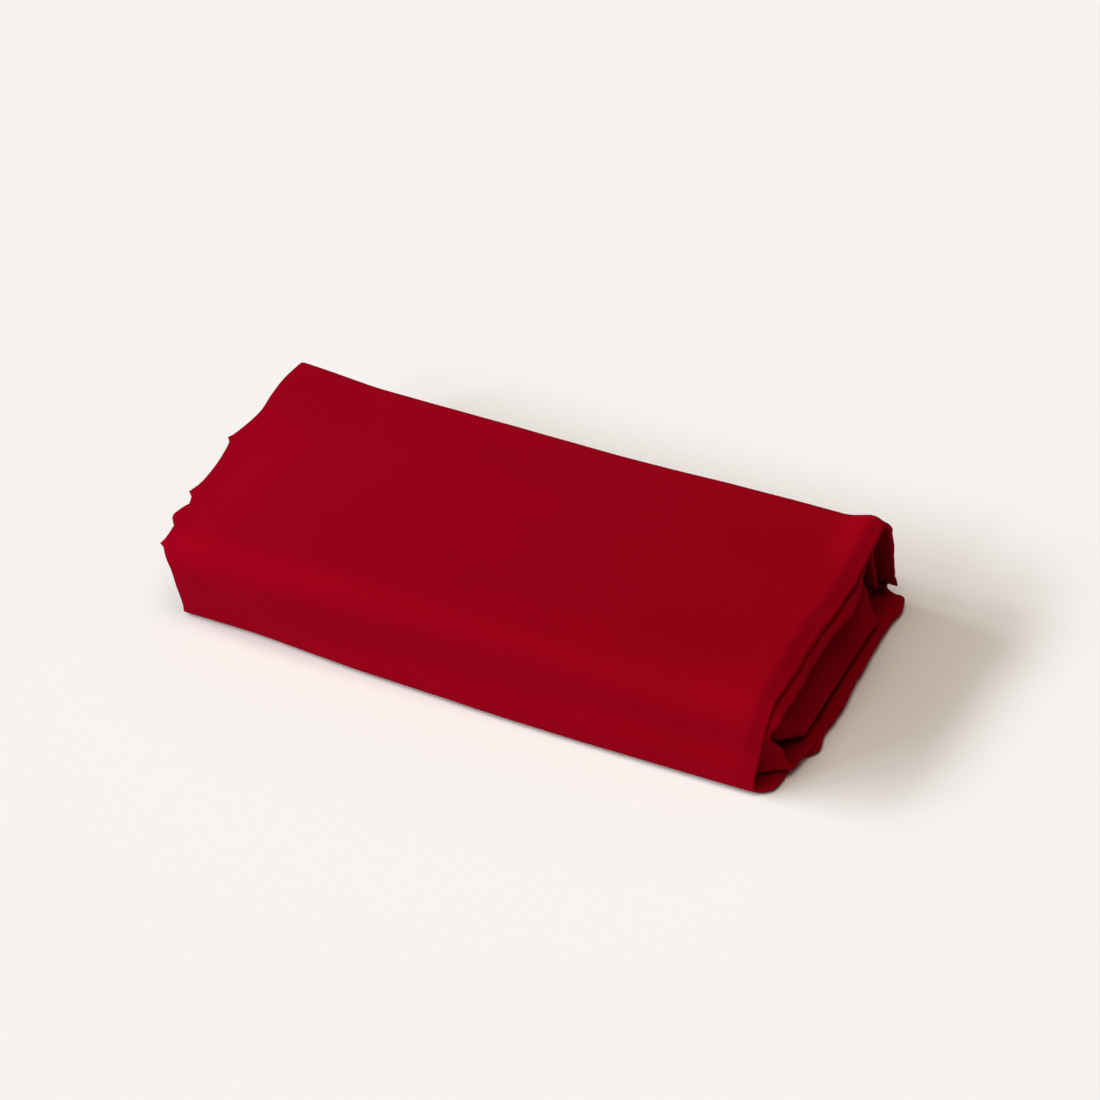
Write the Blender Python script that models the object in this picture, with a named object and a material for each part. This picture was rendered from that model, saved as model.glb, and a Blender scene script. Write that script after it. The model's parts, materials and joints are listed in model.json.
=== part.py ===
"""A flat bolt of quilting cotton: doubled cloth wound round a corrugated board.

Units are metres, +Z is up, and the bolt lies on its widest side.
+X runs along the board to the closed centre folds, -Y is the front, where the outer turn folds up and over.
The origin is the middle of the footprint, on the surface that the bolt lies on.
"""

import math

import bmesh
import bpy

# The cloth
CLOTH_WIDTH = 0.558           # doubled, centre fold to selvages

# The outer turn
OUTER_THICKNESS = 0.0045
TOP_FOLD_RADIUS = 0.026       # outside radius of the two upper folds
FRONT_FOOT_RADIUS = 0.014     # outside radius of the fold at the foot of the front
BACK_FOOT_RADIUS = 0.008      # outside radius where the cloth turns up at the back
BACK_FOOT_HEIGHT = 0.010      # where that cloth starts to lean in, under the turn above
STEP_UP_HEIGHT = 0.020        # where it meets the turn inside it
TAIL_CLEARANCE = 0.0025       # from that step up to the loose end hanging over it

# The turns inside it
INNER_TURNS = 3
TURN_THICKNESS = 0.0050
BOTTOM_THICKNESS = 0.0034     # pressed thinner by the weight above
TURN_GAP_TOP = 0.0033
TURN_GAP_SIDE = 0.0015
TURN_GAP_BOTTOM = 0.0004
TIGHTEST_FOLD = 0.0065

# How far each stretch has slipped along the board, from the left end of the bolt
BOTTOM_SLIP = 0.024
FRONT_SLIP = 0.004
TOP_SLIP = 0.0
LOOSE_END_SLIP = 0.008
TURN_SLIPS = (0.010, 0.006, 0.002)   # inside to outside
POCKET_SLIP = 0.012

# The pocket: the first length of doubled cloth, with the board between its plies
POCKET_WALL = 0.0050
POCKET_RADIUS = 0.012
POCKET_SIDE_ROOM = 0.009      # air beside the board's two long edges
BOARD_CLEARANCE = 0.001       # above and below the board
MOUTH_RECESS = 0.032          # from the pocket's open end to the board
BLIND_RECESS = 0.021          # from the board to the pocket's closed end

# The corrugated board
BOARD_WIDTH = 0.203
BOARD_THICKNESS = 0.022
LINER = 0.0005
FLUTE_HEIGHT = 0.0030
FLUTE_PITCH = 0.0078
FLUTE_PAPER = 0.0004
GLUE_GAP = 0.0003
BOARD_CORNER = 0.0015
END_FLAP = 0.004
END_FLAP_RECESS = 0.002

GAP = 0.0003                  # between stretches of cloth that meet
ARC_STEPS = 7                 # segments in each fold
CORNER_STEPS = 4              # segments in each rounded corner of a bar
FLUTE_STEPS = 8               # segments in each wave

COTTON = ("red_cotton", (0.36, 0.003, 0.012, 1.0), 0.85)
LINER_KRAFT = ("kraft_liner", (0.46, 0.32, 0.19, 1.0), 0.8)
FLUTE_KRAFT = ("kraft_fluting", (0.38, 0.26, 0.15, 1.0), 0.85)


def inset_of_turn(depth):
    """How far the outside of an inner turn lies from the bolt's outside: side, top and bottom."""
    side = OUTER_THICKNESS + TURN_GAP_SIDE + depth * (TURN_THICKNESS + TURN_GAP_SIDE)
    top = OUTER_THICKNESS + TURN_GAP_TOP + depth * (TURN_THICKNESS + TURN_GAP_TOP)
    bottom = OUTER_THICKNESS + TURN_GAP_BOTTOM + depth * (BOTTOM_THICKNESS + TURN_GAP_BOTTOM)
    return side, top, bottom


# Worked out from the sizes above
SIDE_INSET, TOP_INSET, BOTTOM_INSET = inset_of_turn(INNER_TURNS)
SIDE_OF_OUTERMOST = inset_of_turn(0)[0]
POCKET_ROOM = (BOARD_WIDTH + 2 * POCKET_SIDE_ROOM, BOARD_THICKNESS + 2 * BOARD_CLEARANCE)
POCKET_OUTSIDE = (POCKET_ROOM[0] + 2 * POCKET_WALL, POCKET_ROOM[1] + 2 * POCKET_WALL)
POCKET_MIDDLE_Z = BOTTOM_INSET + POCKET_OUTSIDE[1] / 2
BOARD_LENGTH = CLOTH_WIDTH - POCKET_WALL - MOUTH_RECESS - BLIND_RECESS
BOLT_LENGTH = CLOTH_WIDTH + BOTTOM_SLIP
BOLT_DEPTH = POCKET_OUTSIDE[0] + 2 * SIDE_INSET
BOLT_HEIGHT = POCKET_OUTSIDE[1] + TOP_INSET + BOTTOM_INSET
FRONT_Y = -BOLT_DEPTH / 2 + OUTER_THICKNESS / 2      # middle of the outer turn's front
BACK_Y = -FRONT_Y
FOOT_Z = OUTER_THICKNESS / 2
TOP_Z = BOLT_HEIGHT - OUTER_THICKNESS / 2
TOP_BEND = TOP_FOLD_RADIUS - OUTER_THICKNESS / 2
FRONT_BEND = FRONT_FOOT_RADIUS - OUTER_THICKNESS / 2
BACK_BEND = BACK_FOOT_RADIUS - OUTER_THICKNESS / 2


def stretch_of_cloth(slip):
    """The X range of a stretch that has slipped so far from the bolt's left end."""
    left = slip - BOLT_LENGTH / 2
    return (left, left + CLOTH_WIDTH)


def clear_scene():
    for obj in list(bpy.data.objects):
        bpy.data.objects.remove(obj, do_unlink=True)


def new_collection(name):
    collection = bpy.data.collections.new(name)
    bpy.context.scene.collection.children.link(collection)
    return collection


def paint(obj, finish):
    """Gives an object its own Principled material."""
    name, colour, roughness = finish
    material = bpy.data.materials.new(f"{name}_{obj.name}")
    material.use_nodes = True
    shader = material.node_tree.nodes["Principled BSDF"]
    shader.inputs["Base Color"].default_value = colour
    shader.inputs["Roughness"].default_value = roughness
    shader.inputs["Metallic"].default_value = 0.0
    material.diffuse_color = colour
    obj.data.materials.append(material)


def left_of(direction):
    return (-direction[1], direction[0])


def rounded_route(corners, bends):
    """Samples a route in the YZ plane as (y, z, normal y, normal z), with an arc at each inner corner.

    corners is a list of (y, z), and bends gives the middle radius at each corner but the two ends.
    """
    samples = []
    last = len(corners) - 1
    directions = []
    for start, end in zip(corners, corners[1:]):
        run = math.dist(start, end)
        directions.append(((end[0] - start[0]) / run, (end[1] - start[1]) / run))
    samples.append((*corners[0], *left_of(directions[0])))
    for i in range(1, last):
        before, after = directions[i - 1], directions[i]
        turn = math.atan2(before[0] * after[1] - before[1] * after[0], before[0] * after[0] + before[1] * after[1])
        side = math.copysign(1.0, turn)
        bend = bends[i - 1]
        trim = bend * math.tan(abs(turn) / 2)
        normal = left_of(before)
        centre_y = corners[i][0] - before[0] * trim + normal[0] * bend * side
        centre_z = corners[i][1] - before[1] * trim + normal[1] * bend * side
        for k in range(ARC_STEPS + 1):
            angle = turn * k / ARC_STEPS
            normal_y = normal[0] * math.cos(angle) - normal[1] * math.sin(angle)
            normal_z = normal[0] * math.sin(angle) + normal[1] * math.cos(angle)
            y = centre_y - normal_y * bend * side
            z = centre_z - normal_z * bend * side
            samples.append((y, z, normal_y, normal_z))
    samples.append((*corners[last], *left_of(directions[-1])))
    return samples


def extruded_outline(name, outline, x_range, origin, collection, finish):
    """A 2D curve in the YZ plane, filled and extruded along X, with its origin at (y, z)."""
    curve = bpy.data.curves.new(name, "CURVE")
    curve.dimensions = "2D"
    curve.fill_mode = "BOTH"
    curve.extrude = (x_range[1] - x_range[0]) / 2
    spline = curve.splines.new("POLY")
    spline.points.add(len(outline) - 1)
    for point, (y, z) in zip(spline.points, outline):
        point.co = (y - origin[0], z - origin[1], 0.0, 1.0)
    spline.use_cyclic_u = True
    obj = bpy.data.objects.new(name, curve)
    obj.rotation_euler = (math.radians(90), 0.0, math.radians(90))
    obj.location = ((x_range[0] + x_range[1]) / 2, origin[0], origin[1])
    collection.objects.link(obj)
    paint(obj, finish)
    return obj


def band(name, route, thicknesses, x_range, collection, finish, origin=(0.0, 0.0)):
    """A strip of even or varying thickness that follows a sampled route, extruded along X."""
    if isinstance(thicknesses, float):
        thicknesses = [thicknesses] * len(route)
    outer = []
    inner = []
    for (y, z, normal_y, normal_z), thickness in zip(route, thicknesses):
        half = thickness / 2
        outer.append((y + normal_y * half, z + normal_z * half))
        inner.append((y - normal_y * half, z - normal_z * half))
    return extruded_outline(name, outer + inner[::-1], x_range, origin, collection, finish)


def rounded_bar(name, size, centre, radius, collection):
    """A box with its four edges along X rounded."""
    mesh = bpy.data.meshes.new(name)
    shape = bmesh.new()
    bmesh.ops.create_cube(shape, size=1.0)
    bmesh.ops.scale(shape, vec=size, verts=shape.verts)
    long_edges = [e for e in shape.edges if abs(e.verts[0].co.x - e.verts[1].co.x) > size[0] / 2]
    bmesh.ops.bevel(shape, geom=long_edges, offset=radius, segments=CORNER_STEPS, profile=0.5, affect="EDGES")
    bmesh.ops.recalc_face_normals(shape, faces=shape.faces)
    shape.to_mesh(mesh)
    shape.free()
    obj = bpy.data.objects.new(name, mesh)
    obj.location = centre
    collection.objects.link(obj)
    return obj


def hollow_bar(obj, size, centre, radius, cutters):
    """Cuts a rounded bar out of another."""
    cutter = rounded_bar(f"{obj.name}_cutter", size, centre, radius, cutters)
    cutter.hide_render = True
    cutter.display_type = "WIRE"
    cut = obj.modifiers.new("hollow", "BOOLEAN")
    cut.operation = "DIFFERENCE"
    cut.object = cutter


# The outer turn, from the back of the underside round the front to the loose end.
# A stretch that moves has its origin on the fold line that it turns about.


def outer_bottom(collection):
    inner_back_y = BACK_Y - OUTER_THICKNESS / 2 - TURN_GAP_SIDE - TURN_THICKNESS / 2
    gentle_bend = OUTER_THICKNESS * 0.6
    corners = [
        (inner_back_y, STEP_UP_HEIGHT),
        (inner_back_y, STEP_UP_HEIGHT - OUTER_THICKNESS / 2),
        (BACK_Y, BACK_FOOT_HEIGHT),
        (BACK_Y, FOOT_Z),
        (FRONT_Y + FRONT_BEND + GAP, FOOT_Z),
    ]
    route = rounded_route(corners, [gentle_bend, gentle_bend, BACK_BEND - gentle_bend / 2])
    return band("outer_bottom", route, OUTER_THICKNESS, stretch_of_cloth(BOTTOM_SLIP), collection, COTTON)


def front_lower_fold(collection):
    corners = [(FRONT_Y + FRONT_BEND, FOOT_Z), (FRONT_Y, FOOT_Z), (FRONT_Y, FOOT_Z + FRONT_BEND)]
    route = rounded_route(corners, [FRONT_BEND])[1:-1]
    return band("front_lower_fold", route, OUTER_THICKNESS, stretch_of_cloth(FRONT_SLIP), collection, COTTON)


def outer_front(collection):
    route = rounded_route([(FRONT_Y, FOOT_Z + FRONT_BEND + GAP), (FRONT_Y, TOP_Z - TOP_BEND - GAP)], [])
    x_range = stretch_of_cloth(FRONT_SLIP)
    return band("outer_front", route, OUTER_THICKNESS, x_range, collection, COTTON, origin=(FRONT_Y, FOOT_Z))


def front_upper_fold(collection):
    corners = [(FRONT_Y, TOP_Z - TOP_BEND), (FRONT_Y, TOP_Z), (FRONT_Y + TOP_BEND, TOP_Z)]
    route = rounded_route(corners, [TOP_BEND])[1:-1]
    x_range = stretch_of_cloth(TOP_SLIP)
    return band("front_upper_fold", route, OUTER_THICKNESS, x_range, collection, COTTON, origin=(FRONT_Y, FOOT_Z))


def outer_top(collection):
    route = rounded_route([(FRONT_Y + TOP_BEND + GAP, TOP_Z), (BACK_Y - TOP_BEND - GAP, TOP_Z)], [])
    x_range = stretch_of_cloth(TOP_SLIP)
    return band("outer_top", route, OUTER_THICKNESS, x_range, collection, COTTON, origin=(FRONT_Y, TOP_Z))


def back_upper_fold(collection):
    corners = [(BACK_Y - TOP_BEND, TOP_Z), (BACK_Y, TOP_Z), (BACK_Y, TOP_Z - TOP_BEND)]
    route = rounded_route(corners, [TOP_BEND])[1:-1]
    x_range = stretch_of_cloth(TOP_SLIP)
    return band("back_upper_fold", route, OUTER_THICKNESS, x_range, collection, COTTON, origin=(FRONT_Y, TOP_Z))


def loose_end(collection):
    lowest = STEP_UP_HEIGHT + TAIL_CLEARANCE
    route = rounded_route([(BACK_Y, TOP_Z - TOP_BEND - GAP), (BACK_Y, lowest)], [])
    x_range = stretch_of_cloth(LOOSE_END_SLIP)
    return band("loose_end", route, OUTER_THICKNESS, x_range, collection, COTTON, origin=(BACK_Y, TOP_Z))


# What it is wound over


def inner_turn(number, collection):
    """One turn, from its back edge up, over and under to just short of where it began."""
    depth = INNER_TURNS - number
    side, top, bottom = inset_of_turn(depth)
    back = BOLT_DEPTH / 2 - side - TURN_THICKNESS / 2
    upper = BOLT_HEIGHT - top - TURN_THICKNESS / 2
    lower = bottom + BOTTOM_THICKNESS / 2
    fold = max(TOP_BEND - side, TIGHTEST_FOLD)
    # the folds at the foot nest at the closer pitch of the layers underneath
    foot = max(TOP_BEND - SIDE_OF_OUTERMOST - depth * (BOTTOM_THICKNESS + TURN_GAP_BOTTOM), TIGHTEST_FOLD)
    corners = [
        (back, STEP_UP_HEIGHT + GAP),
        (back, upper),
        (-back, upper),
        (-back, lower),
        (back, lower),
    ]
    route = rounded_route(corners, [fold, fold, foot])
    thicknesses = [TURN_THICKNESS] * len(route)
    thicknesses[-1] = BOTTOM_THICKNESS
    foot_starts = len(route) - 2 - ARC_STEPS
    for k in range(ARC_STEPS + 1):
        thicknesses[foot_starts + k] += (BOTTOM_THICKNESS - TURN_THICKNESS) * k / ARC_STEPS
    x_range = stretch_of_cloth(TURN_SLIPS[number - 1])
    return band(f"turn_{number}", route, thicknesses, x_range, collection, COTTON)


def board_pocket(collection, cutters):
    """A sleeve that is open at the selvages and closed at the centre fold."""
    left, right = stretch_of_cloth(POCKET_SLIP)
    middle_x = (left + right) / 2
    pocket = rounded_bar(
        "board_pocket", (CLOTH_WIDTH, *POCKET_OUTSIDE), (middle_x, 0.0, POCKET_MIDDLE_Z), POCKET_RADIUS, collection
    )
    room_middle = (middle_x - POCKET_WALL, 0.0, POCKET_MIDDLE_Z)
    hollow_bar(pocket, (CLOTH_WIDTH, *POCKET_ROOM), room_middle, POCKET_RADIUS - POCKET_WALL, cutters)
    paint(pocket, COTTON)
    return pocket


# The board


def board_middle():
    left = stretch_of_cloth(POCKET_SLIP)[0] + MOUTH_RECESS
    return (left + BOARD_LENGTH / 2, 0.0, POCKET_MIDDLE_Z)


def board_liner(name, inset, collection, cutters):
    """A paper liner folded into a flat tube."""
    width = BOARD_WIDTH - 2 * inset
    height = BOARD_THICKNESS - 2 * inset
    liner = rounded_bar(name, (BOARD_LENGTH, width, height), board_middle(), BOARD_CORNER, collection)
    past_both_ends = BOARD_LENGTH * 1.1
    room = (past_both_ends, width - 2 * LINER, height - 2 * LINER)
    hollow_bar(liner, room, board_middle(), BOARD_CORNER - LINER, cutters)
    paint(liner, LINER_KRAFT)
    return liner


def fluting(name, across, span, level, collection):
    """A corrugated sheet whose waves run across Y or Z, at a level on the other axis."""
    waves = round(span / FLUTE_PITCH)
    rise = (FLUTE_HEIGHT - FLUTE_PAPER) / 2
    middle_x, middle_y, middle_z = board_middle()
    steps = waves * FLUTE_STEPS
    route = []
    for k in range(steps + 1):
        along = span * (k / steps - 0.5)
        phase = 2 * math.pi * waves * k / steps
        height = rise * math.sin(phase)
        slope = rise * math.cos(phase) * 2 * math.pi * waves / span
        length = math.hypot(1.0, slope)
        if across == "Y":
            route.append((middle_y + along, middle_z + level + height, -slope / length, 1 / length))
        else:
            route.append((middle_y + level + height, middle_z + along, 1 / length, -slope / length))
    x_range = (middle_x - BOARD_LENGTH / 2, middle_x + BOARD_LENGTH / 2)
    return band(name, route, FLUTE_PAPER, x_range, collection, FLUTE_KRAFT)


def board_end(name, side, collection):
    """The flap tucked in at one end of the board."""
    inset = 2 * LINER + FLUTE_HEIGHT + 3 * GLUE_GAP
    middle_x, middle_y, middle_z = board_middle()
    size = (END_FLAP, BOARD_WIDTH - 2 * inset, BOARD_THICKNESS - 2 * inset)
    x = middle_x + side * (BOARD_LENGTH / 2 - END_FLAP_RECESS - END_FLAP / 2)
    flap = rounded_bar(name, size, (x, middle_y, middle_z), BOARD_CORNER, collection)
    paint(flap, LINER_KRAFT)
    return flap


def corrugated_board(collection, cutters):
    flute_level = LINER + GLUE_GAP + FLUTE_HEIGHT / 2
    inner_inset = LINER + 2 * GLUE_GAP + FLUTE_HEIGHT
    flat_span = BOARD_WIDTH - 2 * inner_inset
    edge_span = BOARD_THICKNESS - 2 * inner_inset
    board_liner("board_outer_liner", 0.0, collection, cutters)
    board_liner("board_inner_liner", inner_inset, collection, cutters)
    fluting("board_upper_fluting", "Y", flat_span, BOARD_THICKNESS / 2 - flute_level, collection)
    fluting("board_lower_fluting", "Y", flat_span, flute_level - BOARD_THICKNESS / 2, collection)
    fluting("board_front_fluting", "Z", edge_span, flute_level - BOARD_WIDTH / 2, collection)
    fluting("board_back_fluting", "Z", edge_span, BOARD_WIDTH / 2 - flute_level, collection)
    board_end("board_left_end", -1, collection)
    board_end("board_right_end", 1, collection)


def main():
    clear_scene()
    bolt = new_collection("fabric_bolt")
    cutters = new_collection("cutters")
    outer_bottom(bolt)
    front_lower_fold(bolt)
    outer_front(bolt)
    front_upper_fold(bolt)
    outer_top(bolt)
    back_upper_fold(bolt)
    loose_end(bolt)
    for number in range(1, INNER_TURNS + 1):
        inner_turn(number, bolt)
    board_pocket(bolt, cutters)
    corrugated_board(bolt, cutters)


main()
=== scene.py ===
# Fabric bolt: red quilting cotton, doubled and wound round a corrugated board.
import json
import math

import bmesh
import bpy
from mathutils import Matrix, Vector, noise


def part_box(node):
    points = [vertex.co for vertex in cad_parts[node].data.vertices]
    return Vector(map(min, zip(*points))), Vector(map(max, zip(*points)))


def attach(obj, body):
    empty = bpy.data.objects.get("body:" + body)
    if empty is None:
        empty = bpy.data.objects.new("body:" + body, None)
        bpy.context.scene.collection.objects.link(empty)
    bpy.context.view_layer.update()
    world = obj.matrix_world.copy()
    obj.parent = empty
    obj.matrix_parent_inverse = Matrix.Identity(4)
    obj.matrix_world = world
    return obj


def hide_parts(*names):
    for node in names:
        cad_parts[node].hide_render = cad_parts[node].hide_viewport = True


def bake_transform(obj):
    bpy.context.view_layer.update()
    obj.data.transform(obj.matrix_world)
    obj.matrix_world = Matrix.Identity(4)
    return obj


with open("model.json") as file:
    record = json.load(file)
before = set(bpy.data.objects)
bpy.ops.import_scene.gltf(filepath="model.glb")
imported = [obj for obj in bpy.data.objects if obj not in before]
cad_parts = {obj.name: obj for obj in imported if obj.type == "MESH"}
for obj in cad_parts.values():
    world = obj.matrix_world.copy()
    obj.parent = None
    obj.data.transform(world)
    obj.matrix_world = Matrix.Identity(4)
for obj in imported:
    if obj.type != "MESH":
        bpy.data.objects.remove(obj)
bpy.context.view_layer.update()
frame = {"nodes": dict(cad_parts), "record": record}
print("frame loaded,", len(frame["nodes"]), "nodes")

mm = 0.001


def hexColour(code):
    # sRGB hex to linear
    channels = [int(code[i:i + 2], 16) / 255 for i in (1, 3, 5)]
    linear = [c / 12.92 if c <= 0.04045 else ((c + 0.055) / 1.055) ** 2.4 for c in channels]
    return (*linear, 1.0)


def smooth(t):
    t = min(max(t, 0.0), 1.0)
    return t * t * (3 - 2 * t)


def rise(value, begin, full):
    # 0 up to begin, 1 from full on, and smooth between; full may lie on either side of begin
    return smooth((value - begin) / (full - begin))


def follow(keys, at):
    # a smooth curve through (place, value) keys
    if at <= keys[0][0]:
        return keys[0][1]
    if at >= keys[-1][0]:
        return keys[-1][1]
    i = max(k for k in range(len(keys) - 1) if keys[k][0] <= at)
    (t0, v0), (t1, v1) = keys[i], keys[i + 1]
    before = keys[i - 1] if i > 0 else (2 * t0 - t1, v0)
    after = keys[i + 2] if i + 2 < len(keys) else (2 * t1 - t0, v1)
    slope0 = (v1 - before[1]) / (t1 - before[0])
    slope1 = (after[1] - v0) / (after[0] - t0)
    run = t1 - t0
    t = (at - t0) / run
    return (
        (1 + 2 * t) * (1 - t) ** 2 * v0 + t * (1 - t) ** 2 * run * slope0
        + t * t * (3 - 2 * t) * v1 + t * t * (t - 1) * run * slope1
    )


# where the cloth runs, seen from the end of the bolt

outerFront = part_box("outer_front")
outerThickness = outerFront[1].y - outerFront[0].y
frontY = (outerFront[0].y + outerFront[1].y) / 2
backY = -frontY
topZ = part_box("outer_top")[1].z - outerThickness / 2
footZ = outerThickness / 2
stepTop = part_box("outer_bottom")[1].z
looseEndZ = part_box("loose_end")[0].z


def routeOf(corners, radii, straightStep=5 * mm, arcStep=2 * mm):
    # (y, z, outward y, outward z, station) along a line with rounded corners
    # a corner's number is its station
    legs = [Vector(b) - Vector(a) for a, b in zip(corners, corners[1:])]
    lengths = [leg.length for leg in legs]
    ways = [leg.normalized() for leg in legs]
    trims = [0.0]
    for before, after, radius in zip(ways, ways[1:], radii):
        trims.append(radius * math.tan(abs(before.angle_signed(after)) / 2))
    trims.append(0.0)
    route = []
    for i, (way, length) in enumerate(zip(ways, lengths)):
        start, end = trims[i], length - trims[i + 1]
        steps = max(1, round((end - start) / straightStep))
        for k in range(steps + 1):
            along = start + (end - start) * k / steps
            point = Vector(corners[i]) + way * along
            route.append((point.x, point.y, way.y, -way.x, i + along / length))
        if i + 1 == len(legs):
            break
        turn = -way.angle_signed(ways[i + 1])
        radius = radii[i]
        side = math.copysign(1.0, turn)
        left = Vector((-way.y, way.x))
        centre = Vector(corners[i + 1]) - way * trims[i + 1] + left * radius * side
        arcSteps = max(2, round(abs(turn) * radius / arcStep))
        for k in range(1, arcSteps):
            share = k / arcSteps
            angle = turn * share
            normal = Vector((
                left.x * math.cos(angle) - left.y * math.sin(angle),
                left.x * math.sin(angle) + left.y * math.cos(angle),
            ))
            point = centre - normal * radius * side
            if share < 0.5:
                station = i + 1 - trims[i + 1] / length * (1 - 2 * share)
            else:
                station = i + 1 + trims[i + 1] / lengths[i + 1] * (2 * share - 1)
            route.append((point.x, point.y, -normal.x, -normal.y, station))
    return route


# how the whole winding has settled: each move's size, then where it begins and where it is full
settled = {
    # the front's upper fold is blunter towards the right
    "frontTop": 9 * mm,
    "frontTopShare": 0.7,           # of that, both back and down
    "frontTopReach": 62 * mm,
    "frontTopAlong": (-0.10, 0.20),
    # the front's foot stands further forward towards the right, and is tucked in at the left
    "footOut": 8.5 * mm,
    "footOutAlong": (-0.24, 0.12),
    "footIn": 5.5 * mm,
    "footInAlong": (-0.09, -0.22),
    "footHeight": (43 * mm, 5 * mm),
    "footDepth": (100 * mm, 10 * mm),     # behind the front
    # the open left end droops
    "leftDroop": 4 * mm,
    "leftAlong": (-0.23, -0.29),
    "leftDepth": (0.08, -0.02),
    "leftHeight": (45 * mm, 75 * mm),
    # the back edge sags between the ends, and its right corner stands up
    "backIn": 3.5 * mm,
    "backDown": 2.5 * mm,
    "backDepth": (90 * mm, 10 * mm),      # in front of the back
    "backHeight": (30 * mm, 70 * mm),
    "sagFromLeft": (-0.30, -0.20),
    "sagFromRight": (0.21, 0.01),
    "cornerUp": 8.5 * mm,
    "cornerAlong": (0.225, 0.26),
}


def settle(point):
    shift = Vector((0, 0, 0))
    near = rise(math.hypot(point.y - frontY, point.z - topZ), settled["frontTopReach"], 0)
    blunt = settled["frontTop"] * near * rise(point.x, *settled["frontTopAlong"])
    shift.y += blunt * settled["frontTopShare"]
    shift.z -= blunt * settled["frontTopShare"]
    low = rise(point.z, *settled["footHeight"]) * rise(point.y - frontY, *settled["footDepth"])
    shift.y -= settled["footOut"] * low * rise(point.x, *settled["footOutAlong"])
    shift.y += settled["footIn"] * low * rise(point.x, *settled["footInAlong"])
    high = rise(point.z, *settled["leftHeight"]) * rise(point.y, *settled["leftDepth"])
    shift.z -= settled["leftDroop"] * high * rise(point.x, *settled["leftAlong"])
    atBack = rise(backY - point.y, *settled["backDepth"]) * rise(point.z, *settled["backHeight"])
    sag = rise(point.x, *settled["sagFromLeft"]) * rise(point.x, *settled["sagFromRight"])
    corner = rise(point.x, *settled["cornerAlong"])
    shift.y -= settled["backIn"] * sag * atBack
    shift.z += (settled["cornerUp"] * corner - settled["backDown"] * sag) * atBack
    return shift


# doubled cloth: outer ply, centre fold at the right, inner ply
weave = {
    "clothWidth": 1.116,            # opened out
    "thickness": 0.7 * mm,          # real cloth is 0.25 mm, too thin to show its edge
    "outerColumns": 66,
    "foldColumns": 14,
    "innerColumns": 44,
    "crowding": (0.56, 0.48),       # how much closer the columns stand at a ply's two ends
    "foldShare": 0.02,              # of the width, in the centre fold itself
    "noseShare": 0.6,               # how far the centre fold's nose stands out, of its height
    "longestNose": 8 * mm,
    # (size, how often along the route, seed) of the wander of the centre fold
    "wander": ((1.6 * mm, 7, 0.0), (0.9 * mm, 24, 5.0)),
    # (share of the size, how often along the bolt, how often along the route, seed) of the faint waves
    "waves": ((1.0, 9, 2.2, 0.0), (0.5, 22, 6, 7.0)),
}


def spread(count):
    # shares from 0 to 1, closer together at both ends
    start, end = weave["crowding"]
    shares = []
    for k in range(count + 1):
        t = k / count
        shares.append(t - math.sin(2 * math.pi * t) / (2 * math.pi) * (start * (1 - t) + end * t))
    return shares


def doubledRow(station, cut):
    # one row of (x, distance outward from the route's middle, share of the cloth's width)
    right = follow(cut["right"], station)
    for size, often, seed in weave["wander"]:
        right += size * noise.noise(Vector((station * often, cut["seed"], seed)))
    leftOuter = follow(cut["left"], station)
    leftInner = leftOuter + follow(cut["innerLeft"], station)
    gap = follow(cut["gap"], station)
    foldHeight = follow(cut["foldHeight"], station)
    roll = follow(cut["roll"], station)
    nose = min((foldHeight - roll) * weave["noseShare"], weave["longestNose"])
    foldX = right - nose

    def outerLevel(x):
        return gap / 2 - roll * smooth((x - foldX) / cut["rollReach"] + 1) ** 2

    def innerLevel(x):
        return -gap / 2 - (foldHeight - gap) * smooth((x - foldX) / cut["foldReach"] + 1)

    row = []
    plyShare = (1 - weave["foldShare"]) / 2
    for share in spread(weave["outerColumns"]):
        x = leftOuter + (foldX - leftOuter) * share
        row.append((x, outerLevel(x), share * plyShare))
    high, low = outerLevel(foldX), innerLevel(foldX)
    middle, half = (high + low) / 2, (high - low) / 2
    for k in range(1, weave["foldColumns"]):
        share = k / weave["foldColumns"]
        angle = math.pi * (0.5 - share)
        row.append((
            foldX + nose * math.cos(angle), middle + half * math.sin(angle),
            plyShare + weave["foldShare"] * share,
        ))
    for share in spread(weave["innerColumns"]):
        x = foldX + (leftInner - foldX) * share
        row.append((x, innerLevel(x), 1 - plyShare * (1 - share)))
    return row


def waves(point, station, out, size, seed):
    height = 0.0
    for share, oftenAlong, oftenAround, seedStep in weave["waves"]:
        place = Vector((point.x * oftenAlong, station * oftenAround, seed + seedStep))
        height += share * noise.noise(place)
    return out * height * size


def clothGrid(route, cut):
    # rows of (point on the sheet's middle surface, place on the flat cloth)
    rows = []
    travelled = 0.0
    previous = None
    for y, z, outY, outZ, station in route:
        if previous:
            travelled += math.hypot(y - previous[0], z - previous[1])
        previous = (y, z)
        row = []
        for x, n, share in doubledRow(station, cut):
            point = Vector((x, y + outY * n, z + outZ * n))
            point += cut["drift"](point, station, Vector((0, outY, outZ)))
            row.append((point, (share * weave["clothWidth"], travelled)))
        rows.append(row)
    return rows


def gridNormals(rows):
    # the outer ply faces outward
    last = len(rows) - 1
    columns = len(rows[0])
    normals = []
    for j in range(len(rows)):
        line = []
        for i in range(columns):
            across = rows[j][min(i + 1, columns - 1)][0] - rows[j][max(i - 1, 0)][0]
            along = rows[min(j + 1, last)][i][0] - rows[max(j - 1, 0)][i][0]
            normal = across.cross(along)
            line.append(normal.normalized() if normal.length > 0 else Vector((0, 0, 1)))
        normals.append(line)
    return normals


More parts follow.
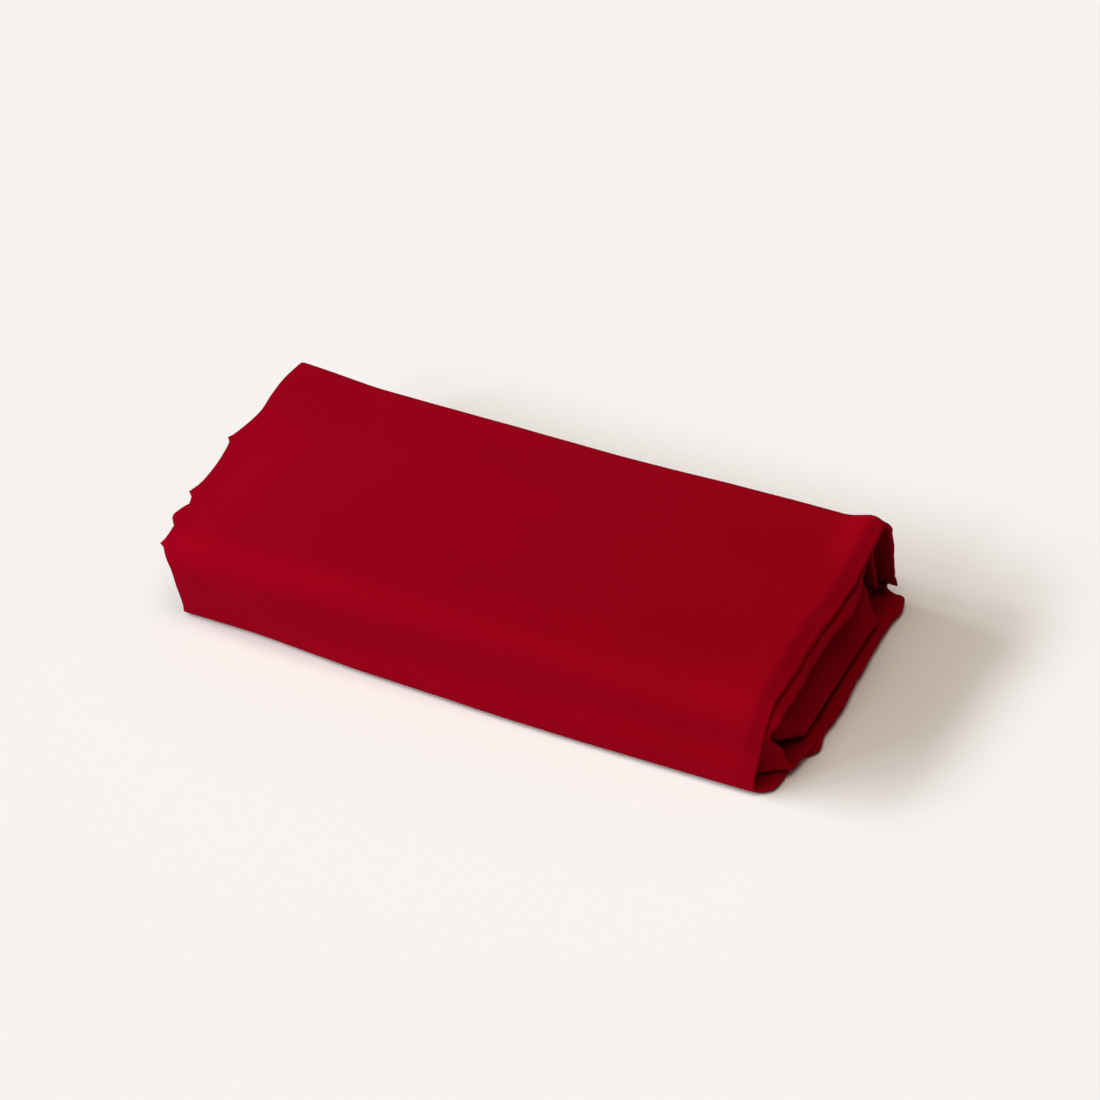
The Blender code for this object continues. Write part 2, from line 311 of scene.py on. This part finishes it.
def clothPiece(name, rows, normals, first, last, material):
    # a closed sheet of the rows from first to last, its wall drawn along the normals
    columns = len(rows[0])
    count = last - first + 1
    half = weave["thickness"] / 2
    points, directions, places = [], [], []
    for side in (1, -1):
        for j in range(first, last + 1):
            for i in range(columns):
                points.append(rows[j][i][0] + normals[j][i] * half * side)
                directions.append(normals[j][i] * side)
                places.append(rows[j][i][1])
    layer = count * columns
    faces = []
    for j in range(count - 1):
        for i in range(columns - 1):
            a = j * columns + i
            b, c, d = a + 1, a + 1 + columns, a + columns
            faces.append((a, b, c, d))
            faces.append((a + layer, d + layer, c + layer, b + layer))
    rim = list(range(columns))
    rim += [j * columns + columns - 1 for j in range(1, count)]
    rim += [(count - 1) * columns + i for i in range(columns - 2, -1, -1)]
    rim += [j * columns for j in range(count - 2, 0, -1)]
    for a, b in zip(rim, rim[1:] + rim[:1]):
        faces.append((b, a, a + layer, b + layer))
    mesh = bpy.data.meshes.new(name)
    mesh.from_pydata([tuple(p) for p in points], [], faces)
    uvMap = mesh.uv_layers.new(name="cloth")
    for loop in mesh.loops:
        uvMap.data[loop.index].uv = places[loop.vertex_index]
    mesh.shade_smooth()
    mesh.normals_split_custom_set_from_vertices([tuple(d) for d in directions])
    piece = bpy.data.objects.new(name, mesh)
    bpy.context.scene.collection.objects.link(piece)
    mesh.materials.append(material)
    return piece


# materials


def addNode(tree, kind, sockets=None, **settings):
    node = tree.nodes.new(kind)
    for key, value in settings.items():
        setattr(node, key, value)
    for key, value in (sockets or {}).items():
        if isinstance(value, bpy.types.NodeSocket):
            tree.links.new(value, node.inputs[key])
        else:
            node.inputs[key].default_value = value
    return node


# plain weave quilting cotton, piece dyed: a flat, matt face with a fine even grain of crossing threads,
# a few thicker threads, and a faint bloom of short fibres at a low angle
cottonLook = {
    "red": "#98001A",               # towards the open selvages at the left end: lighter there, painted light where the cloth is lit more strongly
    "paintedShadeRed": "#8B0013",           # towards the centre fold at the right end: darker there, painted shade
    "cloudRed": "#920016",
    "gapShadeRed": "#7E0010",            # between the threads: painted shade in the hollows of the weave
    "paintedLightFrom": 0.1,                # how far from the centre fold the painted light gradient begins
    "clouds": 9.0,
    "threadPitch": 1.3 * mm,        # real threads are 0.35 mm apart, too fine to show
    "threadShade": 0.34,
    "threadHeight": 0.2 * mm,
    "slubs": (40, 600),             # how often thicker threads come along and across themselves
    "roughness": 0.9,
    "sheen": 0.045,
    "sheenRoughness": 0.4,
    "sheenTint": "#F0284C",
    "specular": 0.02,
}


def cottonMaterial():
    material = bpy.data.materials.new("red_plain_weave_cotton")
    material.use_nodes = True
    tree = material.node_tree
    shader = tree.nodes["Principled BSDF"]
    uv = addNode(tree, "ShaderNodeUVMap", uv_map="cloth").outputs["UV"]
    cloudy = addNode(tree, "ShaderNodeTexNoise", {"Vector": uv, "Scale": cottonLook["clouds"], "Detail": 3.0})
    tone = addNode(tree, "ShaderNodeMapRange", {
        "Value": cloudy.outputs["Fac"], "From Min": 0.35, "From Max": 0.65, "To Max": 0.5,
    })
    across = addNode(tree, "ShaderNodeSeparateXYZ", {"Vector": uv})
    # painted light and shade: the red is darker at the centre fold on the right end and lighter towards the
    # open selvages on the left end, standing in for light that weakens from left to right
    fromFold = addNode(tree, "ShaderNodeMath", {
        0: across.outputs["X"], 1: weave["clothWidth"] / 2,
    }, operation="SUBTRACT")
    distance = addNode(tree, "ShaderNodeMath", {0: fromFold.outputs["Value"]}, operation="ABSOLUTE")
    paintedLightShare = addNode(tree, "ShaderNodeMapRange", {
        "Value": distance.outputs["Value"],
        "From Min": cottonLook["paintedLightFrom"], "From Max": weave["clothWidth"] / 2,
    })
    paintedLightRed = addNode(tree, "ShaderNodeMix", {
        "Factor": paintedLightShare.outputs["Result"],
        6: hexColour(cottonLook["paintedShadeRed"]), 7: hexColour(cottonLook["red"]),
    }, data_type="RGBA")
    colour = addNode(tree, "ShaderNodeMix", {
        "Factor": tone.outputs["Result"], 6: paintedLightRed.outputs[2], 7: hexColour(cottonLook["cloudRed"]),
    }, data_type="RGBA")
    # the threads: a wave texture has 20 / (2 pi) bands in each unit at scale 1, and a band spans two threads
    bands = 1 / (2 * cottonLook["threadPitch"]) * 2 * math.pi / 20
    threads = []
    for direction in ("X", "Y"):
        threads.append(addNode(tree, "ShaderNodeTexWave", {
            "Vector": uv, "Scale": bands, "Distortion": 0.6, "Detail": 1.0,
        }, bands_direction=direction))
    crossing = addNode(tree, "ShaderNodeMath", {
        0: threads[0].outputs["Fac"], 1: threads[1].outputs["Fac"],
    }, operation="MAXIMUM")
    # slubs: short thicker lengths of thread, along and across
    seldom, often = cottonLook["slubs"]
    slubs = []
    for stretch in ((seldom, often, 1), (often, seldom, 1)):
        along = addNode(tree, "ShaderNodeMapping", {"Vector": uv, "Scale": stretch})
        slubs.append(addNode(tree, "ShaderNodeTexNoise", {
            "Vector": along.outputs["Vector"], "Scale": 1.0, "Detail": 2.0,
        }))
    slub = addNode(tree, "ShaderNodeMath", {
        0: slubs[0].outputs["Fac"], 1: slubs[1].outputs["Fac"],
    }, operation="ADD")
    height = addNode(tree, "ShaderNodeMath", {
        0: crossing.outputs["Value"], 1: slub.outputs["Value"],
    }, operation="ADD")
    # painted shade: the lower a place lies between the threads, the darker its red
    gapShade = addNode(tree, "ShaderNodeMapRange", {
        "Value": height.outputs["Value"], "From Min": 1.1, "From Max": 1.9,
        "To Min": cottonLook["threadShade"], "To Max": 0.0,
    })
    woven = addNode(tree, "ShaderNodeMix", {
        "Factor": gapShade.outputs["Result"], 6: colour.outputs[2], 7: hexColour(cottonLook["gapShadeRed"]),
    }, data_type="RGBA")
    tree.links.new(woven.outputs[2], shader.inputs["Base Color"])
    bump = addNode(tree, "ShaderNodeBump", {
        "Height": height.outputs["Value"], "Strength": 0.35, "Distance": cottonLook["threadHeight"],
    })
    tree.links.new(bump.outputs["Normal"], shader.inputs["Normal"])
    shader.inputs["Roughness"].default_value = cottonLook["roughness"]
    shader.inputs["Sheen Weight"].default_value = cottonLook["sheen"]
    shader.inputs["Sheen Roughness"].default_value = cottonLook["sheenRoughness"]
    shader.inputs["Sheen Tint"].default_value = hexColour(cottonLook["sheenTint"])
    shader.inputs["Specular IOR Level"].default_value = cottonLook["specular"]
    return material


cotton = cottonMaterial()
print("cotton dyed")

kraftLooks = {
    # brown kraft liner: smooth machine-made paper, with long fibres pressed flat and a dry, even face
    "liner": {
        "name": "kraft_liner_board",
        "light": "#BDA07A",
        "dark": "#A98A64",
        "fleck": "#7E6445",
        "fibre": 2.5 * mm,
        "roughness": 0.82,
        "relief": 0.05 * mm,
    },
    # semichemical fluting medium: shorter, rougher fibres, a little darker and greyer
    "fluting": {
        "name": "corrugating_medium",
        "light": "#AC916F",
        "dark": "#957A5A",
        "fleck": "#6F583E",
        "fibre": 1.6 * mm,
        "roughness": 0.9,
        "relief": 0.09 * mm,
    },
}


def kraftMaterial(look):
    material = bpy.data.materials.new(look["name"])
    material.use_nodes = True
    tree = material.node_tree
    shader = tree.nodes["Principled BSDF"]
    place = addNode(tree, "ShaderNodeTexCoord").outputs["Object"]
    # fibres lie along the board
    lengthways = addNode(tree, "ShaderNodeMapping", {
        "Vector": place, "Scale": (0.5 / look["fibre"], 3 / look["fibre"], 3 / look["fibre"]),
    })
    fibres = addNode(tree, "ShaderNodeTexNoise", {
        "Vector": lengthways.outputs["Vector"], "Scale": 1.0, "Detail": 4.0, "Roughness": 0.65,
    })
    cloudy = addNode(tree, "ShaderNodeTexNoise", {"Vector": place, "Scale": 28.0, "Detail": 3.0})
    mottle = addNode(tree, "ShaderNodeMath", {
        0: fibres.outputs["Fac"], 1: cloudy.outputs["Fac"],
    }, operation="ADD")
    tone = addNode(tree, "ShaderNodeMapRange", {
        "Value": mottle.outputs["Value"], "From Min": 0.75, "From Max": 1.25,
    })
    paper = addNode(tree, "ShaderNodeMix", {
        "Factor": tone.outputs["Result"], 6: hexColour(look["dark"]), 7: hexColour(look["light"]),
    }, data_type="RGBA")
    specks = addNode(tree, "ShaderNodeTexNoise", {
        "Vector": lengthways.outputs["Vector"], "Scale": 2.7, "Detail": 1.0,
    })
    fleck = addNode(tree, "ShaderNodeMapRange", {
        "Value": specks.outputs["Fac"], "From Min": 0.69, "From Max": 0.74, "To Max": 0.7,
    })
    flecked = addNode(tree, "ShaderNodeMix", {
        "Factor": fleck.outputs["Result"], 6: paper.outputs[2], 7: hexColour(look["fleck"]),
    }, data_type="RGBA")
    tree.links.new(flecked.outputs[2], shader.inputs["Base Color"])
    bump = addNode(tree, "ShaderNodeBump", {
        "Height": fibres.outputs["Fac"], "Strength": 0.5, "Distance": look["relief"],
    })
    tree.links.new(bump.outputs["Normal"], shader.inputs["Normal"])
    shader.inputs["Roughness"].default_value = look["roughness"]
    shader.inputs["Specular IOR Level"].default_value = 0.25
    return material


kraft = {kind: kraftMaterial(look) for kind, look in kraftLooks.items()}
for node in frame["record"]["behaviour"]["bodies"]["board"]:
    paperKind = "fluting" if "fluting" in node else "liner"
    for slot in bpy.data.objects[node].material_slots:
        slot.material = kraft[paperKind]
print("board finished")

# the outer turn: its keys are (station, value), and the stations are
# 0 loose end, 1 back's top, 2 front's top, 3 front's foot, 4 back's foot, 5 under the turn inside
outerCut = {
    "right": [
        (0.0, 0.2745), (0.35, 0.272), (0.85, 0.270), (1.0, 0.266), (1.2, 0.2665), (1.35, 0.268),
        (1.6, 0.267), (1.9, 0.2665), (2.05, 0.265), (2.5, 0.263), (3.0, 0.265), (3.03, 0.275),
        (3.09, 0.2785), (3.13, 0.280), (3.19, 0.283), (3.235, 0.2915), (3.28, 0.2890), (3.36, 0.289),
        (3.42, 0.2895), (3.6, 0.2878), (3.78, 0.2850), (3.87, 0.2855), (3.93, 0.2868), (4.02, 0.281),
        (4.3, 0.269), (5.0, 0.268),
    ],
    "left": [
        (0.0, -0.280), (0.8, -0.286), (1.0, -0.288), (1.12, -0.292), (1.22, -0.2915), (1.3, -0.290),
        (1.38, -0.2935), (1.445, -0.2985), (1.457, -0.3005), (1.47, -0.2970), (1.53, -0.2945),
        (1.6, -0.293), (1.69, -0.2935), (1.735, -0.2965), (1.745, -0.2970), (1.757, -0.2930),
        (1.8, -0.2895), (1.87, -0.2885), (1.95, -0.2880), (1.985, -0.2902), (2.0, -0.2922),
        (2.018, -0.2892), (2.1, -0.2862), (2.33, -0.2790), (2.53, -0.2752), (2.77, -0.2724),
        (2.93, -0.2712), (3.15, -0.272), (3.6, -0.268), (5.0, -0.266),
    ],
    # how far the inner ply's edge lies behind the outer one's
    "innerLeft": [
        (0.0, 4 * mm), (1.78, 2 * mm), (1.80, -3 * mm), (1.855, -8 * mm), (1.87, -7 * mm),
        (1.93, 2 * mm), (5.0, 4 * mm),
    ],
    "gap": [(0.0, 2.2 * mm), (5.0, 2.2 * mm)],
    "foldHeight": [
        (0.0, 3 * mm), (0.3, 4 * mm), (0.9, 9 * mm), (1.2, 8 * mm), (1.36, 7 * mm), (1.5, 10 * mm),
        (1.75, 10 * mm), (1.92, 7 * mm), (2.2, 7 * mm), (3.0, 3.5 * mm), (3.2, 4 * mm), (3.36, 9 * mm),
        (3.6, 11 * mm), (3.85, 10 * mm), (3.95, 8 * mm), (4.2, 5 * mm), (5.0, 4 * mm),
    ],
    "foldReach": 26 * mm,
    "roll": [(0.0, 1.5 * mm), (1.0, 4 * mm), (1.9, 4.5 * mm), (2.5, 3 * mm), (3.0, 0.5 * mm), (5.0, 0.0)],
    "rollReach": 17 * mm,
    "seed": 1.5,
    "waveSize": 0.5 * mm,
    "waveSeed": 3.0,
    "tail": 7 * mm,                 # how far the loose end hangs below its stiff stand-in
    "leanIn": 6.5 * mm,             # of the edge that turns up at the back
    "topBend": 26 * mm,
    "bends": [11 * mm, 26 * mm, 4.5 * mm, 3 * mm],
    "splits": (1.5, 2.42),          # the stations where one piece ends and the next begins
}


def outerDrift(point, station, out):
    return settle(point) + waves(point, station, out, outerCut["waveSize"], outerCut["waveSeed"])


outerCut["drift"] = outerDrift
outerCorners = [
    (backY, looseEndZ - outerCut["tail"]),
    (backY, topZ),
    (frontY, topZ),
    (frontY, footZ),
    (backY, footZ),
    (backY - outerCut["leanIn"], stepTop),
]
outerRoute = routeOf(outerCorners, outerCut["bends"])
outerRows = clothGrid(outerRoute, outerCut)
outerNormals = gridNormals(outerRows)
stations = [place[4] for place in outerRoute]
topSplit, frontSplit = [
    min(range(len(stations)), key=lambda j: abs(stations[j] - split)) for split in outerCut["splits"]
]
lastRow = len(outerRows) - 1

looseCloth = clothPiece("loose_end_cloth", outerRows, outerNormals, 0, topSplit, cotton)
topCloth = clothPiece("top_cloth", outerRows, outerNormals, topSplit, frontSplit, cotton)
bottomCloth = clothPiece("bottom_cloth", outerRows, outerNormals, frontSplit, lastRow, cotton)
bend = outerCut["topBend"]
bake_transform(looseCloth)
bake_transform(topCloth)
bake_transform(bottomCloth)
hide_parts("loose_end", "back_upper_fold")
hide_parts("outer_top", "front_upper_fold")
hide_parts("outer_bottom", "front_lower_fold", "outer_front")

print("outer turn wound")

# the turns inside it: the same keys as the outer turn's, up to station 4
turnCuts = {
    "turn_3": {
        "right": [
            (0.0, 0.262), (0.9, 0.258), (1.15, 0.263), (1.35, 0.275), (1.6, 0.272), (1.9, 0.274),
            (2.1, 0.271), (2.4, 0.266), (2.85, 0.278), (3.05, 0.285), (3.22, 0.287), (3.32, 0.277),
            (3.42, 0.260), (3.6, 0.256), (4.0, 0.256),
        ],
        "left": [(0.0, -0.280), (1.5, -0.282), (1.8, -0.286), (2.0, -0.280), (3.0, -0.264), (4.0, -0.268)],
        "foldHeight": [
            (0.0, 5 * mm), (1.0, 9 * mm), (1.2, 11 * mm), (1.9, 11 * mm), (2.4, 5 * mm), (3.0, 5 * mm),
            (4.0, 5 * mm),
        ],
        "roll": [(0.0, 1 * mm), (1.0, 3 * mm), (1.9, 3 * mm), (2.4, 1 * mm), (4.0, 0.5 * mm)],
        "pull": 26 * mm,
        "cave": 8 * mm,
    },
    "turn_2": {
        "right": [
            (0.0, 0.246), (1.0, 0.240), (1.9, 0.238), (2.3, 0.246), (3.0, 0.254), (3.4, 0.252), (4.0, 0.250),
        ],
        "left": [(0.0, -0.278), (4.0, -0.274)],
        "foldHeight": [(0.0, 5 * mm), (4.0, 4 * mm)],
        "roll": [(0.0, 1 * mm), (4.0, 0.5 * mm)],
        "pull": 15 * mm,
        "cave": 8 * mm,
    },
    "turn_1": {
        "right": [(0.0, 0.240), (1.0, 0.236), (1.9, 0.234), (2.3, 0.240), (3.0, 0.248), (4.0, 0.248)],
        "left": [(0.0, -0.274), (4.0, -0.27)],
        "foldHeight": [(0.0, 5 * mm), (4.0, 4 * mm)],
        "roll": [(0.0, 1 * mm), (4.0, 0.5 * mm)],
        "pull": 10 * mm,
        "cave": 6 * mm,
    },
}

# what the three turns share
turnShape = {
    "innerLeft": [(0.0, 3 * mm), (4.0, 3 * mm)],
    "gap": [(0.0, 2.0 * mm), (4.0, 1.4 * mm)],
    "foldReach": 24 * mm,
    "rollReach": 18 * mm,
    "waveSize": 0.4 * mm,
    "seedStep": 5.0,
    # the rise at the back caves in at the right end
    "caveAlong": (0.225, 0.255),
    "caveAround": (1.15, 0.85),
    # the front's lower corner is pulled back there
    "pullAlong": (0.236, 0.286),
    "pullFrom": (2.2, 2.8),
    "pullUntil": (3.35, 3.05),
    # from the stand-in's faces to the middle of the doubled cloth
    "inset": 2.4 * mm,
    "lowInset": 1.7 * mm,
    "startAbove": 1 * mm,
    "endShort": 3 * mm,
    "backBend": 9 * mm,
    "backBendShare": 0.2,           # how much tighter it gets with each distance from the outer turn
    "tightestBackBend": 6 * mm,
    "frontBendLess": 2 * mm,
    "tightestFrontBend": 7 * mm,
    "footBend": 6 * mm,
}


def windTurn(number):
    name = f"turn_{number}"
    low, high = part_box(name)
    cut = {**turnShape, **turnCuts[name]}
    cut["seed"] = number * cut["seedStep"]

    def drift(point, station, out):
        shift = settle(point) + waves(point, station, out, cut["waveSize"], cut["seed"])
        caved = rise(point.x, *cut["caveAlong"]) * rise(station, *cut["caveAround"])
        pulled = rise(station, *cut["pullFrom"]) * rise(station, *cut["pullUntil"])
        shift.y -= cut["cave"] * caved
        shift.y += cut["pull"] * rise(point.x, *cut["pullAlong"]) * pulled
        return shift

    cut["drift"] = drift
    top = high.z - cut["inset"]
    back = high.y - cut["inset"]
    bottom = low.z + cut["lowInset"]
    corners = [
        (back, stepTop + cut["startAbove"]),
        (back, top),
        (-back, top),
        (-back, bottom),
        (back - cut["endShort"], bottom),
    ]
    inward = backY - back
    backBend = max(cut["backBend"] - inward * cut["backBendShare"], cut["tightestBackBend"])
    frontBend = max(bend - inward - cut["frontBendLess"], cut["tightestFrontBend"])
    route = routeOf(corners, [backBend, frontBend, cut["footBend"]])
    rows = clothGrid(route, cut)
    piece = clothPiece(name + "_cloth", rows, gridNormals(rows), 0, len(rows) - 1, cotton)
    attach(piece, "wound_cloth")
    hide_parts(name)


for number in (3, 2, 1):
    windTurn(number)
print("inner turns wound")

# the pocket: two plies round the board, joined at the centre fold and wrapped past both long edges

pocketLow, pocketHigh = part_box("board_pocket")
pocketCut = {
    "corner": 12 * mm,
    "cornerSteps": 8,
    "sideRoom": 1 * mm,             # inside its stand-in
    "heightRoom": 0.5 * mm,
    "wall": 1.2 * mm,
    "mesh": 4 * mm,
    "straightHoops": 90,
    "closingHoops": 26,
    "straightTo": 0.236,
    # the closed end: (place along it, x, level as a share of half the height) of the upper and the lower ply
    "upper": [
        (0.0, 0.236, 1.0), (0.25, 0.2475, 0.93), (0.42, 0.2560, 0.70), (0.52, 0.2608, 0.47),
        (0.58, 0.2630, 0.33), (0.66, 0.2665, 0.10), (0.85, 0.2755, -0.52), (0.94, 0.2795, -0.76),
        (1.0, 0.2800, -0.84),
    ],
    "lower": [(0.0, 0.236, -1.0), (0.6, 0.265, -1.0), (0.94, 0.2785, -0.90), (1.0, 0.2800, -0.84)],
    # (from x, to x, share) by which the band draws in towards the seam
    "drawIn": ((0.232, 0.252, 0.08), (0.254, 0.279, 0.17)),
    "pinch": 0.06,                  # how much more its sides close there
    "crease": 0.6 * mm,
    "slackCrease": 1.5 * mm,        # on top of that, where the closing end is slack
    "slackFrom": (0.0, 0.25),
    "slackUntil": (1.0, 0.8),
    "creaseOften": (14, 16),        # along the band and round it
    "creaseSeed": 4.0,
    "fineCrease": 0.3 * mm,
    "fineOften": (40, 50),
    "fineSeed": 9.0,
    "seamStitch": 3 * mm,
    "seamMerge": 1.4 * mm,
    "seamX": 0.3 / 14,              # a place in the creases of its own
    "leastEdge": 0.02 * mm,
}


def pocketNoise(x, y, often, seed):
    alongOften, roundOften = pocketCut[often]
    return noise.noise(Vector((x * alongOften, y * roundOften, pocketCut[seed])))


def pocketRing(halfWidth, halfHeight):
    # (y, z) round the band, which has rounded corners
    radius = pocketCut["corner"]
    steps = pocketCut["cornerSteps"]
    outline = []
    for startAngle, sideY, sideZ in ((-90, 1, -1), (0, 1, 1), (90, -1, 1), (180, -1, -1)):
        centreY = sideY * (halfWidth - radius)
        centreZ = sideZ * (halfHeight - radius)
        for k in range(steps + 1):
            angle = math.radians(startAngle + 90 * k / steps)
            outline.append((centreY + radius * math.cos(angle), centreZ + radius * math.sin(angle)))
    ring = []
    for a, b in zip(outline, outline[1:] + outline[:1]):
        count = max(1, round(math.dist(a, b) / pocketCut["mesh"]))
        ring += [(a[0] + (b[0] - a[0]) * k / count, a[1] + (b[1] - a[1]) * k / count) for k in range(count)]
    return ring


def pocketPiece():
    # a band round the board, its right end closed by the centre fold
    middleZ = (pocketLow.z + pocketHigh.z) / 2
    halfWidth = (pocketHigh.y - pocketLow.y) / 2 - pocketCut["sideRoom"]
    halfHeight = (pocketHigh.z - pocketLow.z) / 2 - pocketCut["heightRoom"]
    ring = pocketRing(halfWidth, halfHeight)
    closing = pocketCut["closingHoops"]
    hoops = [(share, 0.0) for share in spread(pocketCut["straightHoops"])]
    hoops += [(1.0, k / closing) for k in range(1, closing + 1)]
    upperX = [(at, x) for at, x, level in pocketCut["upper"]]
    upperLevel = [(at, level) for at, x, level in pocketCut["upper"]]
    lowerX = [(at, x) for at, x, level in pocketCut["lower"]]
    lowerLevel = [(at, level) for at, x, level in pocketCut["lower"]]
    shape = bmesh.new()
    clothLayer = shape.loops.layers.uv.new("cloth")
    places = {}
    previous = None
    for share, at in hoops:
        line = []
        for i, (ringY, ringZ) in enumerate(ring):
            upperPart = (ringZ / halfHeight + 1) / 2
            x = follow(upperX, at) * upperPart + follow(lowerX, at) * (1 - upperPart)
            level = follow(upperLevel, at) * upperPart + follow(lowerLevel, at) * (1 - upperPart)
            if share < 1:
                x = pocketLow.x + (pocketCut["straightTo"] - pocketLow.x) * share
            drawn = 1.0
            for begin, end, amount in pocketCut["drawIn"]:
                drawn -= amount * rise(x, begin, end)
            # at the seam the side walls have closed too
            pinch = pocketCut["pinch"] * rise(at, 0.5, 1.0) * abs(ringY) / halfWidth
            y = ringY * (drawn - pinch * (1 - abs(upperPart - 0.5) * 2))
            z = middleZ + level * halfHeight
            if at == 1.0:
                crease = pocketNoise(pocketCut["seamX"], ringY, "creaseOften", "creaseSeed")
                z += pocketCut["slackCrease"] * crease
            else:
                slack = rise(at, *pocketCut["slackFrom"]) * rise(at, *pocketCut["slackUntil"])
                crease = pocketCut["crease"] + pocketCut["slackCrease"] * slack
                crease *= pocketNoise(x, ringY, "creaseOften", "creaseSeed")
                crease += pocketCut["fineCrease"] * pocketNoise(x, ringY, "fineOften", "fineSeed")
                z += crease * (upperPart if at > 0 else 1.0)
            vertex = shape.verts.new((x, y, z))
            places[vertex] = (x - pocketLow.x, i * pocketCut["mesh"])
            line.append(vertex)
        if previous:
            for i in range(len(ring)):
                j = (i + 1) % len(ring)
                shape.faces.new((previous[i], previous[j], line[j], line[i]))
        previous = line
    for face in shape.faces:
        for loop in face.loops:
            loop[clothLayer].uv = places[loop.vert]
    # the two plies meet at the seam: each upper point joins the lower point under it
    for vertex in previous:
        vertex.co.y = round(vertex.co.y / pocketCut["seamStitch"]) * pocketCut["seamStitch"]
    bmesh.ops.remove_doubles(shape, verts=previous, dist=pocketCut["seamMerge"])
    bmesh.ops.dissolve_degenerate(shape, edges=shape.edges, dist=pocketCut["leastEdge"])
    bmesh.ops.recalc_face_normals(shape, faces=shape.faces)
    mesh = bpy.data.meshes.new("pocket_cloth")
    shape.to_mesh(mesh)
    shape.free()
    mesh.shade_smooth()
    piece = bpy.data.objects.new("pocket_cloth", mesh)
    bpy.context.scene.collection.objects.link(piece)
    mesh.materials.append(cotton)
    wall = piece.modifiers.new("wall", "SOLIDIFY")
    wall.thickness = pocketCut["wall"]
    wall.offset = -1
    bpy.context.view_layer.objects.active = piece
    bpy.ops.object.modifier_apply(modifier=wall.name)
    return piece


pocket = pocketPiece()
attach(pocket, "wound_cloth")
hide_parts("board_pocket")
print("pocket made")

# stage, light and camera

studio = {
    "floor": "#F2F2F3",
    "floorSize": 8.0,
    "floorZ": -0.2 * mm,
    "sky": 0.125,
    "skyColour": "#F8E6D8",
    # a long low window on the left: (way the light travels from +X, elevation, strength) of each pane
    "window": [(-4, 30.0, 0.78), (12, 28.5, 1.08), (29, 26.5, 1.04), (46, 25.0, 0.84), (68, 27.0, 0.42)],
    "windowSoftness": 13,
    "windowColour": "#E9F3F9",
    "top": 1.46,
    "topTowards": (0.06, 0.10, -1.0),
    "topSoftness": 46,
    "topColour": "#F8E7D3",
}

bpy.ops.mesh.primitive_plane_add(size=studio["floorSize"], location=(0, 0, studio["floorZ"]))
floor = bpy.context.active_object
floor.name = "floor"
# rolled backdrop paper: matt and even, with hardly any shine
backdrop = bpy.data.materials.new("matt_paper_backdrop")
backdrop.use_nodes = True
backdropShader = backdrop.node_tree.nodes["Principled BSDF"]
backdropShader.inputs["Base Color"].default_value = hexColour(studio["floor"])
backdropShader.inputs["Roughness"].default_value = 0.9
backdropShader.inputs["Specular IOR Level"].default_value = 0.1
floor.data.materials.append(backdrop)

world = bpy.data.worlds.new("studio")
world.use_nodes = True
background = world.node_tree.nodes["Background"]
background.inputs["Color"].default_value = hexColour(studio["skyColour"])
background.inputs["Strength"].default_value = studio["sky"]
bpy.context.scene.world = world


def sun(name, towards, strength, softness, colour):
    lightData = bpy.data.lights.new(name, "SUN")
    lightData.energy = strength
    lightData.angle = math.radians(softness)
    lightData.color = hexColour(colour)[:3]
    lamp = bpy.data.objects.new(name, lightData)
    lamp.rotation_mode = "QUATERNION"
    lamp.rotation_quaternion = Vector(towards).to_track_quat("-Z", "Y")
    bpy.context.scene.collection.objects.link(lamp)


for number, (way, height, strength) in enumerate(studio["window"]):
    way, height = math.radians(way), math.radians(height)
    towards = (math.cos(way) * math.cos(height), math.sin(way) * math.cos(height), -math.sin(height))
    sun(f"window_{number + 1}", towards, strength, studio["windowSoftness"], studio["windowColour"])
sun("top_light", studio["topTowards"], studio["top"], studio["topSoftness"], studio["topColour"])

viewpoint = {
    "azimuth": 24.5,
    "elevation": 39.0,
    "distance": 5.13,
    "lens": 196,
    "sensor": 36,
    "farthest": 50,
    "aim": (-0.007, 0.0, 0.0),
    "aimRight": 0.0168,
    "aimUp": 0.0476,
}
azimuth, elevation = math.radians(viewpoint["azimuth"]), math.radians(viewpoint["elevation"])
away = Vector((
    math.sin(azimuth) * math.cos(elevation), -math.cos(azimuth) * math.cos(elevation), math.sin(elevation),
))
rightward = Vector((math.cos(azimuth), math.sin(azimuth), 0))
upward = away.cross(rightward)
cameraData = bpy.data.cameras.new("camera")
cameraData.lens = viewpoint["lens"]
cameraData.sensor_width = viewpoint["sensor"]
cameraData.clip_end = viewpoint["farthest"]
camera = bpy.data.objects.new("camera", cameraData)
target = Vector(viewpoint["aim"]) + rightward * viewpoint["aimRight"] + upward * viewpoint["aimUp"]
camera.location = target + away * viewpoint["distance"]
camera.rotation_mode = "QUATERNION"
camera.rotation_quaternion = (-away).to_track_quat("-Z", "Y")
bpy.context.scene.collection.objects.link(camera)
bpy.context.scene.camera = camera
bpy.context.scene.view_settings.view_transform = "Standard"
print("studio set")
